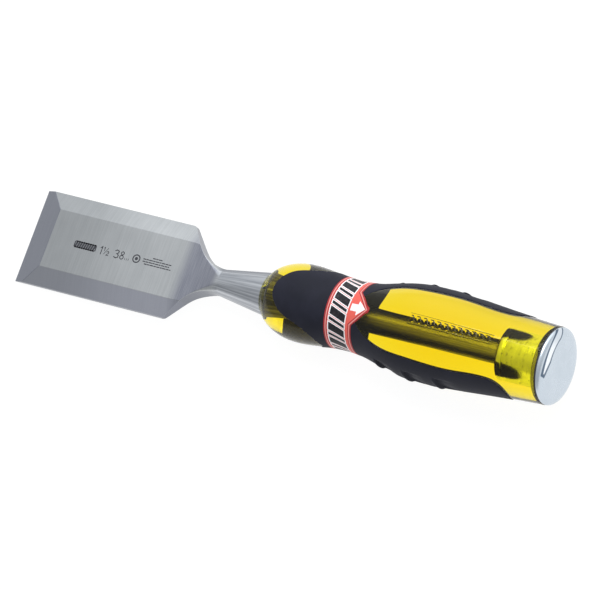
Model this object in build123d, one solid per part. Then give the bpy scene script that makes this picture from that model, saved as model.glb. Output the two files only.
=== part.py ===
from build123d import *
import os
from math import cos, radians, sin, tan

# A bevel-edge bench chisel whose tang runs through a clear handle to a steel strike cap.
# Frame: the origin is the middle of the cutting edge, on the flat back of the blade. +X runs along
# the tool to the strike cap, +Z points out of the bevelled face, and the flat back is the plane Z = 0.
# Units are millimetres. Stations named *_X are distances from the cutting edge.

# Overall
OVERALL_LENGTH = 236.6
AXIS_HEIGHT = 1.8            # the handle's centre line above the flat back

# Blade
BLADE_WIDTH = 38.1
BLADE_THICKNESS = 5.6
CUTTING_BEVEL_DEG = 26.5
EDGE_LAND = 0.12             # the blunt land left on the cutting edge
SIDE_BEVEL_WIDTH = 7.2
SIDE_WALL = 2.0              # height of the blade's side walls
SHOULDER_X = 69.1            # where the sides would meet the slanting shoulders
SHOULDER_DEG = 48.5
SHOULDER_CORNER_R = 2.4

# Neck and bolster
NECK_X = 88.0                # the narrowest section
NECK_R = 5.1
NECK_SWEEP_R = 14.5          # concave arc from shoulder to neck, seen from above
NECK_FLARE = [(4.0, 2.0), (10.0, 7.0)]   # how the rounded envelope widens ahead of the neck
NECK_FLARE_LENGTH = 17.0
RAMP_START_X = 70.0          # where the face starts to climb to the neck
BACK_DROP_X = 76.0           # where the back starts to fall away to the neck
NECK_OVERLAP = 0.3           # how far the plate's end is buried in the bolster
BOLSTER_END_X = 114.0
BOLSTER_END_R = 9.1
BOLSTER_ROOT = 6.0           # length of the bolster's taper buried inside the neck
BOLSTER_ROOT_R = 2.55

# Tang and sleeve
TANG_ROOT_R = 5.2            # the tang tapers from here, behind the bolster, to TANG_R
TANG_TAPER_END_X = 142.0
TANG_R = 3.0
TANG_END_X = 234.8
SLEEVE_X = 214.0
SLEEVE_R = 6.35
SLEEVE_CHAMFER = 0.8
SLEEVE_GROOVE_X = 216.4
SLEEVE_GROOVE_WIDTH = 0.8
SLEEVE_GROOVE_DEPTH = 0.45

# Handle outline: station and radius, from the open nose to the cap
HANDLE_OUTLINE = [
    (110.4, 8.6),
    (112.0, 10.4),
    (116.0, 13.0),
    (121.0, 14.6),
    (128.0, 15.1),           # crown of the front bulb
    (138.0, 14.15),
    (148.0, 13.45),          # waist
    (158.0, 14.5),
    (171.0, 17.35),
    (184.0, 18.25),          # crown of the rear bulb
    (200.0, 17.3),
    (216.0, 16.0),
    (234.0, 14.95),
]
NOSE_X = HANDLE_OUTLINE[0][0]
BODY_END_X = HANDLE_OUTLINE[-1][0]
BODY_END_R = HANDLE_OUTLINE[-1][1]

# Rest: the tool lies on its cutting edge and on the rear bulb, so the front bulb has a flat underneath
REST_SLOPE = 0.0918          # fall of the handle's underside for each millimetre from the edge
REST_CLEARANCE = 0.3         # gap left between the flat and the bench
FLAT_END_X = 150.0           # the flat runs out on the bulb before this station

# Rubber grip: depth, and its plan outlines on one side of the centre line
GRIP_DEPTH = 1.6
TONGUE_ABOVE = [(119.0, 0.0), (120.2, 3.9), (123.5, 7.8), (129.5, 10.5), (135.5, 12.9), (140.0, 16.0)]
TONGUE_BELOW = [(118.0, 0.0), (119.1, 3.8), (122.3, 7.9), (128.8, 10.9), (135.2, 13.1), (140.0, 16.0)]
WINDOW_CENTRE_X = 176.0      # each rear window opens as half an ellipse up to here
WINDOW_LENGTH_ABOVE = 22.0
WINDOW_LENGTH_BELOW = 19.7
WINDOW_HALF_WIDTH = 13.6
WINDOW_END = (214.5, 12.9)
STRIP_CORNER = (221.5, 18.15)   # where each side strip ends, at the handle's side
PLAN_LIMIT = 25.0            # half width of the cutters, clear of the handle
NOTCH_STATIONS = [165.0, 178.3, 191.6]
NOTCH_R = 0.9
NOTCH_HALF_LENGTH = 5.5

# Label
LABEL_X = 142.1
LABEL_WIDTH = 12.2
LABEL_DEPTH = 0.25
TAB_HALF_WIDTH = 7.0
TAB_LENGTH = 6.7

# Strike cap and washer
WASHER_THICKNESS = 0.6
CAP_R = 14.8
CAP_RIM = 0.2                # straight side of the cap's rim
CAP_FACE_R = 11.0            # the flat face; outside it the cap curves away to the rim
CAP_X = BODY_END_X + WASHER_THICKNESS
SPIGOT_R = 11.5              # the cap's spigot sits in a recess in the end of the handle
SPIGOT_X = 231.4


def turned(wire):
    """Revolve a closed outline of (station, radius) about the X axis."""
    return revolve(make_face(wire), Axis.X)


def turned_steps(points):
    """A turned solid whose outline is straight between the given (station, radius) points."""
    first, last = points[0], points[-1]
    outline = Polyline((first[0], 0), *points, (last[0], 0), close=True)
    return turned(outline)


def handle_solid(inset=0.0):
    """The handle's outer shape, turned and then flattened underneath, moved in by inset."""
    points = [(x, r - inset) for x, r in HANDLE_OUTLINE]
    outline = Spline(*points)
    ends = Polyline(points[-1], (points[-1][0], 0), (points[0][0], 0), points[0])
    return turned(outline + ends) - below_flat(inset)


def below_flat(inset):
    """Everything under the front bulb's flat, which keeps clear of the bench by REST_CLEARANCE."""
    def flat_height(station):
        return REST_CLEARANCE + inset - AXIS_HEIGHT - REST_SLOPE * station
    side = Polyline(
        (0, flat_height(0)),
        (FLAT_END_X, flat_height(FLAT_END_X)),
        (FLAT_END_X, -PLAN_LIMIT),
        (0, -PLAN_LIMIT),
        close=True,
    )
    return extrude(Plane.XZ * make_face(side), PLAN_LIMIT, both=True)


def plan_prism(half_wire, low, high):
    """Extrude a plan outline drawn on the +Y side, and its mirror image, from low to high."""
    face = make_face(half_wire)
    half = extrude(Plane.XY.offset(low) * face, high - low)
    return half + mirror(half, Plane.XZ)


def ring_zone(start, end):
    """A block around the axis that holds everything between two stations."""
    length = end - start
    return Pos((start + end) / 2, 0, 0) * Box(length, 2 * PLAN_LIMIT, 2 * PLAN_LIMIT)


def grip_outline(tongue_points, window_length):
    """Half of the rubber's plan shape: tongue, waist and side strip round the rear window."""
    tongue_tip, tongue_end = tongue_points[0], tongue_points[-1]
    window_apex = (WINDOW_CENTRE_X - window_length, 0)
    window_side = (WINDOW_CENTRE_X, WINDOW_HALF_WIDTH)
    tongue = Spline(*tongue_points, tangents=[(0, 1), (0.6, 1)])
    outside = Polyline(
        tongue_end, (tongue_end[0], PLAN_LIMIT), (STRIP_CORNER[0], PLAN_LIMIT), STRIP_CORNER
    )
    strip_end = Spline(STRIP_CORNER, WINDOW_END, tangents=[(0, -1), (-1, 0)])
    window_edge = Spline(WINDOW_END, window_side, tangents=[(-1, 0.03), (-1, 0)])
    front = EllipticalCenterArc(
        (WINDOW_CENTRE_X, 0), window_length, WINDOW_HALF_WIDTH, start_angle=90, arc_size=90
    )
    centre = Line(window_apex, tongue_tip)
    return tongue + outside + strip_end + window_edge + front + centre


def grip_zone():
    """The rubber's outlines above and below, each cut through its own half of the handle."""
    above = plan_prism(grip_outline(TONGUE_ABOVE, WINDOW_LENGTH_ABOVE), 0, PLAN_LIMIT)
    below = plan_prism(grip_outline(TONGUE_BELOW, WINDOW_LENGTH_BELOW), -PLAN_LIMIT, 0)
    return above + below


def label_zone():
    """The band all round the waist, with its pointed tab on the top side only."""
    band_end = LABEL_X + LABEL_WIDTH
    tab = Polyline((band_end, 0), (band_end, TAB_HALF_WIDTH), (band_end + TAB_LENGTH, 0), close=True)
    return ring_zone(LABEL_X, band_end) + plan_prism(tab, 0, PLAN_LIMIT)


def surface_radius(station):
    """The handle's radius at a station, read off the outline curve."""
    probe = Line((station, 0), (station, PLAN_LIMIT))
    return (Spline(*HANDLE_OUTLINE) & probe).vertices()[0].Y


def notches():
    """Cutters for the short grooves across the middle of each side strip."""
    return [
        Pos(station, side * surface_radius(station), 0) * Cylinder(NOTCH_R, 2 * NOTCH_HALF_LENGTH)
        for station in NOTCH_STATIONS
        for side in (-1, 1)
    ]


def skin(depth, zone):
    """The outer layer of the handle, depth thick, inside a zone."""
    return (handle_solid() - handle_solid(depth)) & zone


def make_soft_grip(blank, label):
    grip = blank - label
    for cutter in notches():
        grip -= cutter
    return grip


def make_handle_body(grip_blank, label):
    """The clear body: the turned handle less the rubber, the label, the bolster seat and the bores."""
    body = handle_solid() - grip_blank - label
    bolster_seat = turned_steps([(NOSE_X - 1, bolster_radius(NOSE_X - 1)), (BOLSTER_END_X, BOLSTER_END_R)])
    tang_bore = turned_steps([(BOLSTER_END_X, TANG_ROOT_R), (TANG_TAPER_END_X, TANG_R), (SLEEVE_X, TANG_R)])
    end_bores = turned_steps([
        (SLEEVE_X, SLEEVE_R),
        (SPIGOT_X, SLEEVE_R),
        (SPIGOT_X, SPIGOT_R),
        (BODY_END_X, SPIGOT_R),
    ])
    return body - bolster_seat - tang_bore - end_bores


def bolster_radius(station):
    """The straight taper of the bolster from the neck to its seat in the handle."""
    along = (station - NECK_X) / (BOLSTER_END_X - NECK_X)
    return NECK_R + along * (BOLSTER_END_R - NECK_R)


def make_blade_plate():
    """Blade, shoulders and neck: a plan outline crossed with a side outline."""
    half = BLADE_WIDTH / 2
    slope = radians(SHOULDER_DEG)
    plan_r = NECK_R - NECK_OVERLAP
    arc_start = (
        NECK_X - NECK_SWEEP_R * sin(slope),
        plan_r + NECK_SWEEP_R * (1 - cos(slope)),
    )
    arc_middle = (
        NECK_X - NECK_SWEEP_R * sin(slope / 2),
        plan_r + NECK_SWEEP_R * (1 - cos(slope / 2)),
    )
    plate_end = NECK_X + NECK_OVERLAP
    edges = Polyline((plate_end, plan_r), (plate_end, 0), (0, 0), (0, half), (SHOULDER_X, half), arc_start)
    sweep_arc = ThreePointArc(arc_start, arc_middle, (NECK_X, plan_r))
    plan = make_face(edges + sweep_arc + Line((NECK_X, plan_r), (plate_end, plan_r)))
    corner = plan.vertices().sort_by_distance((SHOULDER_X, half, 0))[0]
    plan = fillet(corner, SHOULDER_CORNER_R)
    upper = extrude(Plane.XY.offset(-PLAN_LIMIT) * plan, 2 * PLAN_LIMIT)
    plan_solid = upper + mirror(upper, Plane.XZ)

    bevel_length = (BLADE_THICKNESS - EDGE_LAND) / tan(radians(CUTTING_BEVEL_DEG))
    neck_top = AXIS_HEIGHT + plan_r
    neck_bottom = AXIS_HEIGHT - plan_r
    side_edges = (
        Polyline((BACK_DROP_X, 0), (0, 0), (0, EDGE_LAND), (bevel_length, BLADE_THICKNESS),
                 (RAMP_START_X, BLADE_THICKNESS))
        + TangentArc((RAMP_START_X, BLADE_THICKNESS), (NECK_X, neck_top), tangent=(1, 0))
        + Polyline((NECK_X, neck_top), (plate_end, neck_top), (plate_end, neck_bottom), (NECK_X, neck_bottom))
        + TangentArc((BACK_DROP_X, 0), (NECK_X, neck_bottom), tangent=(1, 0))
    )
    side_solid = extrude(Plane.XZ * make_face(side_edges), PLAN_LIMIT, both=True)
    return plan_solid & side_solid


def side_bevel_cutter():
    """The wedge of steel ground off above one side bevel; the other side is its mirror image."""
    half = BLADE_WIDTH / 2
    inner = (half - SIDE_BEVEL_WIDTH, BLADE_THICKNESS)
    drop = BLADE_THICKNESS - SIDE_WALL
    lift = drop / SIDE_BEVEL_WIDTH
    outer = (half + 1, SIDE_WALL - lift)
    wedge = Polyline(inner, outer, (half + 1, PLAN_LIMIT), (inner[0], PLAN_LIMIT), close=True)
    return extrude(Plane.YZ * make_face(wedge), RAMP_START_X + SIDE_BEVEL_WIDTH)


def neck_envelope():
    """A flared turned shape that rounds the neck's corners off where it meets the bolster."""
    inside_r = NECK_R - NECK_OVERLAP
    plate_end = NECK_X + 2 * NECK_OVERLAP
    start = (NECK_X, inside_r)
    end = (NECK_X - NECK_FLARE_LENGTH, PLAN_LIMIT)
    flare = [(NECK_X - ahead, NECK_R + wider) for ahead, wider in NECK_FLARE]
    outline = Spline(start, *flare, end, tangents=[(-1, 0.1), (-0.3, 1)])
    closing = Polyline(end, (-1, PLAN_LIMIT), (-1, 0), (plate_end, 0), (plate_end, inside_r), start)
    return Pos(0, 0, AXIS_HEIGHT) * turned(outline + closing)


def make_blade_and_tang():
    plate = make_blade_plate()
    cutter = side_bevel_cutter()
    plate = plate - cutter - mirror(cutter, Plane.XZ)
    plate = plate & neck_envelope()
    bolster = turned_steps([
        (NECK_X - BOLSTER_ROOT, BOLSTER_ROOT_R),
        (NECK_X, NECK_R),
        (BOLSTER_END_X, BOLSTER_END_R),
        (BOLSTER_END_X, TANG_ROOT_R),
        (TANG_TAPER_END_X, TANG_R),
        (TANG_END_X, TANG_R),
    ])
    return plate + Pos(0, 0, AXIS_HEIGHT) * bolster


def make_tang_sleeve():
    groove_end = SLEEVE_GROOVE_X + SLEEVE_GROOVE_WIDTH
    groove_r = SLEEVE_R - SLEEVE_GROOVE_DEPTH
    outside = turned_steps([
        (SLEEVE_X, SLEEVE_R - SLEEVE_CHAMFER),
        (SLEEVE_X + SLEEVE_CHAMFER, SLEEVE_R),
        (SLEEVE_GROOVE_X, SLEEVE_R),
        (SLEEVE_GROOVE_X, groove_r),
        (groove_end, groove_r),
        (groove_end, SLEEVE_R),
        (SPIGOT_X, SLEEVE_R),
    ])
    return outside - turned_steps([(SLEEVE_X - 1, TANG_R), (SPIGOT_X + 1, TANG_R)])


def make_cap_washer():
    ring = turned_steps([(BODY_END_X, BODY_END_R), (CAP_X, BODY_END_R)])
    return ring - turned_steps([(BODY_END_X - 1, SPIGOT_R), (CAP_X + 1, SPIGOT_R)])


def make_strike_cap():
    """A shallow polished cap with a flat face, and a spigot behind it drilled for the tang's end."""
    rim = (CAP_X + CAP_RIM, CAP_R)
    face_edge = (OVERALL_LENGTH, CAP_FACE_R)
    crown = EllipticalCenterArc(
        (rim[0], CAP_FACE_R), OVERALL_LENGTH - rim[0], CAP_R - CAP_FACE_R, start_angle=0, arc_size=90
    )
    rest = Polyline(
        face_edge,
        (OVERALL_LENGTH, 0),
        (SPIGOT_X, 0),
        (SPIGOT_X, SPIGOT_R),
        (CAP_X, SPIGOT_R),
        (CAP_X, CAP_R),
        rim,
    )
    return turned(crown + rest) - turned_steps([(SPIGOT_X - 1, TANG_R), (TANG_END_X, TANG_R)])


def main():
    raise_to_axis = Pos(0, 0, AXIS_HEIGHT)
    label = skin(LABEL_DEPTH, label_zone())
    grip_blank = skin(GRIP_DEPTH, grip_zone())
    nodes = {
        "blade_and_tang": make_blade_and_tang(),
        "handle_body": raise_to_axis * make_handle_body(grip_blank, label),
        "soft_grip": raise_to_axis * make_soft_grip(grip_blank, label),
        "label_band": raise_to_axis * label,
        "tang_sleeve": raise_to_axis * make_tang_sleeve(),
        "cap_washer": raise_to_axis * make_cap_washer(),
        "strike_cap": raise_to_axis * make_strike_cap(),
    }
    os.makedirs("parts", exist_ok=True)
    for name, shape in nodes.items():
        export_step(shape, f"parts/{name}.step")


main()
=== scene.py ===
from math import cos, pi, radians, sin, sqrt, tan

import bpy
import numpy as np
from mathutils import Matrix, Vector


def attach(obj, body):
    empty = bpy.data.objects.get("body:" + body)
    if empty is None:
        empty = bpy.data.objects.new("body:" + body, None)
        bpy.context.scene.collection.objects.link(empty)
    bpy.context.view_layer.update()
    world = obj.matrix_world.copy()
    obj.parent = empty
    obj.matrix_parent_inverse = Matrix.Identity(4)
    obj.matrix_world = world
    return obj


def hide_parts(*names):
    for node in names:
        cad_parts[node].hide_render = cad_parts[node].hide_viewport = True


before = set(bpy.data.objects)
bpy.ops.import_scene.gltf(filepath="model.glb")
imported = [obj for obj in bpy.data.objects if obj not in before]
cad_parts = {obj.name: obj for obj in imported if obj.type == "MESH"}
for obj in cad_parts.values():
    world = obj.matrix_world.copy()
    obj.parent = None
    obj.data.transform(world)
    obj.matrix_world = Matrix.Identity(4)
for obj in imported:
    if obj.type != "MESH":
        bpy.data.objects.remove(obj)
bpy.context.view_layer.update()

# A bevel-edge bench chisel. Lengths are in millimetres and become metres in make_piece().
# +X runs from the cutting edge to the strike cap, +Z out of the bevelled face.
# Angles round the handle are in degrees from the top line, positive towards +Y. In the materials
# they are in radians.
MM = 0.001
AXIS_Z = 1.8  # the handle's centre line above the flat back
LENGTH = 236.6

# Blade
HALF_WIDTH = 19.05
THICKNESS = 5.6
EDGE_LAND = 0.12  # thickness left at the cutting edge
CUTTING_BEVEL = radians(26.5)
SIDE_WALL = 2.0  # height of the upright sides, below the side bevels
SIDE_BEVEL_WIDTH = 7.2
SIDE_BEVEL_SLOPE = (THICKNESS - SIDE_WALL) / SIDE_BEVEL_WIDTH
BEVEL_TOP_X = (THICKNESS - EDGE_LAND) / tan(CUTTING_BEVEL)
CREASE = 0.1  # stations this far from the cutting bevel's top line keep it crisp
EDGE_ROUND = 0.13  # corner radius of the blade's sections

# Shoulders, neck and bolster
SHOULDER_X = 69.1
SHOULDER = radians(48.5)
SHOULDER_CORNER_R = 2.4
NECK_X = 88.0
NECK_R = 5.1
NECK_SWEEP_R = 14.5
RAMP_X = 70.0  # the top face climbs from here to the neck
RAMP_RISE = 1.3
BACK_DROP_X = 75.0  # the back face leaves the flat here
BACK_DROP_SHARE = 1.12  # its drop at the bolster, as a share of the bolster's own
NECK_BLEND = 0.5
ROUND_FROM_X = 76.0  # the sections' corners grow from here until they are round
ROUND_TO_X = 89.0
BOLSTER_END_X = 114.0
BOLSTER_END_R = 9.1

# Tang, sleeve, washer and cap
TANG_ROOT_R = 5.2
TANG_TAPER_END_X = 142.0
TANG_R = 3.0
TANG_END_X = 234.8
SLEEVE_X = 214.0
SLEEVE_R = 6.35
GROOVE_X = 216.4  # a shallow groove round the sleeve
GROOVE_DEPTH = 0.45
SEAT = 0.03  # the clear body's bores are this much tighter than what fills them
LAP = 0.05  # overlap of the sleeve and the washer with their neighbours
CAP_LAP = 0.02
BODY_END_X = 234.0
CAP_X = 234.6
WASHER_R = 14.85
CAP_R = 14.8
CAP_FACE_R = 11.0
CROWN_DROP = 1.8
SPIGOT_X = 231.4
SPIGOT_R = 11.5

# Painted highlight on the cap's face: a polished crescent painted bright, with a painted dark outline.
# It is given from y and
# the height above the axis: a circle is ((y, height, radius), side), with side 1 to keep the outside; a
# line (a, b, c) keeps a y + b h + c > 0
PAINTED_HIGHLIGHT_CIRCLES = [((0.75, -7.36, 19.83), -1.0), ((2.05, -6.65, 15.47), 1.0)]
PAINTED_HIGHLIGHT_LINES = [(0.15, 0.99, -8.36), (1.0, 0.0, 6.9)]
PAINTED_OUTLINE_WIDTH = 0.85

# Handle: (station, radius) points of its outline
OUTLINE = [
    (110.4, 8.6), (112.0, 10.4), (116.0, 13.0), (121.0, 14.6), (128.0, 15.1), (138.0, 14.15),
    (148.0, 13.45), (158.0, 14.5), (171.0, 17.35), (184.0, 18.25), (200.0, 17.3), (216.0, 16.0),
    (234.0, 14.95),
]
BODY_EDGE = 0.15  # rounding of the body's rear rim
REST_SLOPE = 0.0918  # the bench's fall per millimetre, through the edge and under the rear bulb

# Flat under the front bulb, as in the CAD model. It is a guess: the photo doesn't show this side.
FLAT_CLEARANCE = 0.3
FLAT_END_X = 150.0
FLAT_BLEND = 0.6

# Raised panel on the top of the rear window: its stations, its angles and the ribs inside it
PANEL_X = (179.5, 215.0)
PANEL_A = (-6.0, 8.0)
PANEL_LINE = 0.35
PANEL_RISE = 0.07
RIB_RISE = 0.08
RIB_PITCH = 2.9
RIB_MARGIN = 1.0

# Trough in the body under each side strip
TROUGH_X = (159.0, 205.0)
TROUGH_RAMP = 3.0
TROUGH_HALF_ANGLES = (24.0, 20.5)
TROUGH_DEPTH = 1.25

# Rubber: (station, half angle) points of the tongues and of the rear windows
GRIP_DEPTH = 1.6
TONGUE_END_X = 138.8
TONGUES = {
    "above": [
        (118.2, 0), (118.5, 8), (119.2, 15.5), (120.5, 22.5), (122.6, 31), (127.0, 40.5),
        (131.3, 48.3), (135.2, 61), (137.6, 76), (TONGUE_END_X, 90),
    ],
    "below": [
        (117.4, 0), (117.7, 8), (118.5, 15.5), (119.8, 23), (121.5, 31.5), (125.0, 40),
        (129.3, 48.5), (133.7, 61), (137.0, 76), (TONGUE_END_X, 90),
    ],
}
WINDOW_REAR = [
    (178.0, 48.7), (188.0, 51), (198.0, 53.3), (213.0, 53.6), (216.4, 56.5), (219.2, 64),
    (220.9, 76), (221.5, 90),
]
WINDOWS = {
    "above": [
        (154.0, 0), (154.5, 11), (155.6, 20), (158.0, 31), (162.0, 41), (168.0, 47), *WINDOW_REAR,
    ],
    "below": [
        (156.3, 0), (156.9, 11), (158.5, 20), (161.3, 30), (165.6, 39), (171.0, 45.2), *WINDOW_REAR,
    ],
}
WINDOW_START_X = 154.0
WAIST = [(TONGUE_END_X, 90), (WINDOW_START_X, 0)]
PROUD = 0.25  # the rubber stands this proud of the clear plastic
PROUD_WAIST = 0.1  # and this much under the label
EDGE_SINK = 0.05  # its rim starts this far below the surface
LIP_R = 0.45
NOTCHES = [165.0, 178.3, 191.6]
NOTCH_LIP = 0.4
NOTCH_DROP = 1.2
NOTCH_RUN = 9.0

# Columns of the rubber's mesh: in a quarter turn, in its part inside the boundary, and their crowding
QUARTER = 44
SPLIT = 22
CLUSTER = 1.7

# Label: a band, and a pointed tab that is LABEL_HALF_ANGLE wide on each side where it starts
LABEL_X = 142.1
LABEL_END_X = 154.3
LABEL_TIP_X = 161.0
LABEL_HALF_ANGLE = 30.0
LABEL_TIP_SHARE = 0.2  # the last part of the tab's length, which is rounded
LABEL_PROUD = 0.17
LABEL_EDGE = 0.12
LABEL_SINK = 0.15  # the film's rim starts this far below the handle's surface
LABEL_DEPTH = 0.4

FLOOR_GAP = 0.02  # between the tool and the floor it lies on


# ---- curves

def smooth_step(a, b, x):
    t = np.clip((np.asarray(x, float) - a) / (b - a), 0, 1)
    return t * t * (3 - 2 * t)


def smooth_max(a, b, k):
    """The larger of a and b, with a rounded change of k between them."""
    h = np.clip(k - np.abs(a - b), 0, None) / k
    return np.maximum(a, b) + h * h * k / 4


def lip_share(gap, radius):
    """Share of the full height that a rounded edge has reached at a distance from it."""
    return np.sqrt(1 - (1 - np.clip(gap / radius, 0, 1)) ** 2)


def free_spline(t, v):
    """Second derivatives of the smooth curve through v at the parameters t, with free ends."""
    n, h = len(t), np.diff(t)
    a, b = np.eye(n), np.zeros(n)
    for i in range(1, n - 1):
        a[i, i - 1:i + 2] = h[i - 1], 2 * (h[i - 1] + h[i]), h[i]
        b[i] = 6 * ((v[i + 1] - v[i]) / h[i] - (v[i] - v[i - 1]) / h[i - 1])
    return np.linalg.solve(a, b)


def sampled_curve(points, scale=1.0, count=1500):
    """Dense samples of the smooth curve through points; scale weighs the second value's length."""
    p = np.array(points, float)
    steps = np.hypot(np.diff(p[:, 0]), scale * np.diff(p[:, 1]))
    t = np.concatenate([[0], np.cumsum(steps)])
    s = np.linspace(0, t[-1], count)
    k = np.clip(np.searchsorted(t, s) - 1, 0, len(t) - 2)
    h = t[k + 1] - t[k]
    u, w = t[k + 1] - s, s - t[k]
    out = []
    for v in p.T:
        m = free_spline(t, v)
        bend = m[k] * u ** 3 / (6 * h) + m[k + 1] * w ** 3 / (6 * h)
        line = (v[k] / h - m[k] * h / 6) * u + (v[k + 1] / h - m[k + 1] * h / 6) * w
        out.append(bend + line)
    return np.maximum.accumulate(out[0]), out[1]


OUTLINE_X, OUTLINE_R = sampled_curve(OUTLINE)
TONGUE_CURVES = {side: sampled_curve(points, 0.26) for side, points in TONGUES.items()}
WINDOW_CURVES = {side: sampled_curve(points, 0.28) for side, points in WINDOWS.items()}


def handle_r(x):
    return np.interp(x, OUTLINE_X, OUTLINE_R)


def on_handle(x, angle, out=0.0):
    """Points on the handle's surface, moved outwards by out, with the flat under the front bulb."""
    x, angle, out = np.broadcast_arrays(*(np.asarray(v, float) for v in (x, angle, out)))
    r = handle_r(x) + out
    a = np.radians(angle)
    y, z = r * np.sin(a), AXIS_Z + r * np.cos(a)
    flat = FLAT_CLEARANCE - REST_SLOPE * x - out
    lifted = smooth_max(z, flat, FLAT_BLEND)
    z = np.where((x < FLAT_END_X) & (z < 0), lifted, z)
    return np.stack([x, y, z], -1)


# ---- meshes

def make_piece(name, verts, faces, material, slot, replaces=(), normals=None, sharp=None):
    """A mesh object from points in millimetres. Points that coincide become one."""
    verts = np.asarray(verts, float)
    keys = np.round(verts * 5000).astype(np.int64)
    _, first, inverse = np.unique(keys, axis=0, return_index=True, return_inverse=True)
    inverse = inverse.reshape(-1)
    clean = []
    for face in faces:
        ring = [int(inverse[i]) for i in face]
        ring = [v for n, v in enumerate(ring) if v != ring[n - 1]]
        if len(set(ring)) > 2:
            clean.append(ring)
    mesh = bpy.data.meshes.new(name)
    mesh.from_pydata((verts[first] * MM).tolist(), [], clean)
    mesh.update()
    mesh.shade_smooth()
    if sharp is not None:
        mesh.set_sharp_from_angle(angle=radians(sharp))
    if normals is not None:
        mesh.normals_split_custom_set_from_vertices(np.asarray(normals)[first].tolist())
    piece = bpy.data.objects.new(name, mesh)
    bpy.context.scene.collection.objects.link(piece)
    mesh.materials.append(material)
    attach(piece, "root")
    if replaces:
        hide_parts(*replaces)
    return piece


def grid_faces(rows, columns, wrap_columns=True, wrap_rows=False, start=0):
    """Quads over a grid of rows by columns, facing outwards when columns turn about +X."""
    faces = []
    for i in range(rows if wrap_rows else rows - 1):
        low, high = start + i * columns, start + (i + 1) % rows * columns
        for j in range(columns if wrap_columns else columns - 1):
            k = (j + 1) % columns
            faces.append((low + j, high + j, high + k, low + k))
    return faces


def lathe(profile, angles, closed=False):
    """Turn (station, radius) points about the handle's axis."""
    p = np.array(profile, float)
    a = np.radians(angles)
    x = np.repeat(p[:, 0], len(a))
    r = np.repeat(p[:, 1], len(a))
    a = np.tile(a, len(p))
    verts = np.stack([x, r * np.sin(a), AXIS_Z + r * np.cos(a)], -1)
    return verts, grid_faces(len(p), len(angles), wrap_rows=closed)


def rounded(points, steps=5):
    """A profile from (station, radius, corner radius) points, with its corners rounded."""
    out = []
    for n, (x, r, fillet) in enumerate(points):
        here = Vector((x, r))
        if not fillet:
            out.append((x, r))
            continue
        before = (Vector(points[n - 1][:2]) - here).normalized()
        after = (Vector(points[(n + 1) % len(points)][:2]) - here).normalized()
        half = before.angle(after) / 2
        start, end = here + before * (fillet / tan(half)), here + after * (fillet / tan(half))
        centre = here + (before + after).normalized() * (fillet / sin(half))
        for k in range(steps + 1):
            spoke = (start - centre).slerp(end - centre, k / steps).normalized()
            out.append(tuple(centre + spoke * fillet))
    return out


# ---- materials

def feed(tree, value, socket):
    """Link a value into a node's input, or set a plain number or colour on it."""
    if isinstance(value, Socket):
        tree.links.new(value.socket, socket)
    elif isinstance(value, tuple):
        socket.default_value = (*value, 1.0)
    else:
        socket.default_value = value


class Socket:
    """A value in a node tree that can be used in a Python expression."""

    def __init__(self, tree, socket):
        self.tree, self.socket = tree, socket

    def math(self, kind, *others):
        node = self.tree.nodes.new("ShaderNodeMath")
        node.operation = kind
        for n, value in enumerate((self, *others)):
            feed(self.tree, value, node.inputs[n])
        return Socket(self.tree, node.outputs[0])

    def __add__(self, other):
        return self.math("ADD", other)

    def __sub__(self, other):
        return self.math("SUBTRACT", other)

    def __mul__(self, other):
        return self.math("MULTIPLY", other)

    def __abs__(self):
        return self.math("ABSOLUTE")

    def __lt__(self, other):
        return self.math("LESS_THAN", other)

    def __gt__(self, other):
        return self.math("GREATER_THAN", other)

    def step(self, low, high, start=0.0, end=1.0):
        """Smooth change from start to end as the value goes from low to high."""
        node = self.tree.nodes.new("ShaderNodeMapRange")
        node.interpolation_type = "SMOOTHSTEP"
        for n, value in enumerate((self, low, high, start, end)):
            feed(self.tree, value, node.inputs[n])
        return Socket(self.tree, node.outputs[0])


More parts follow.
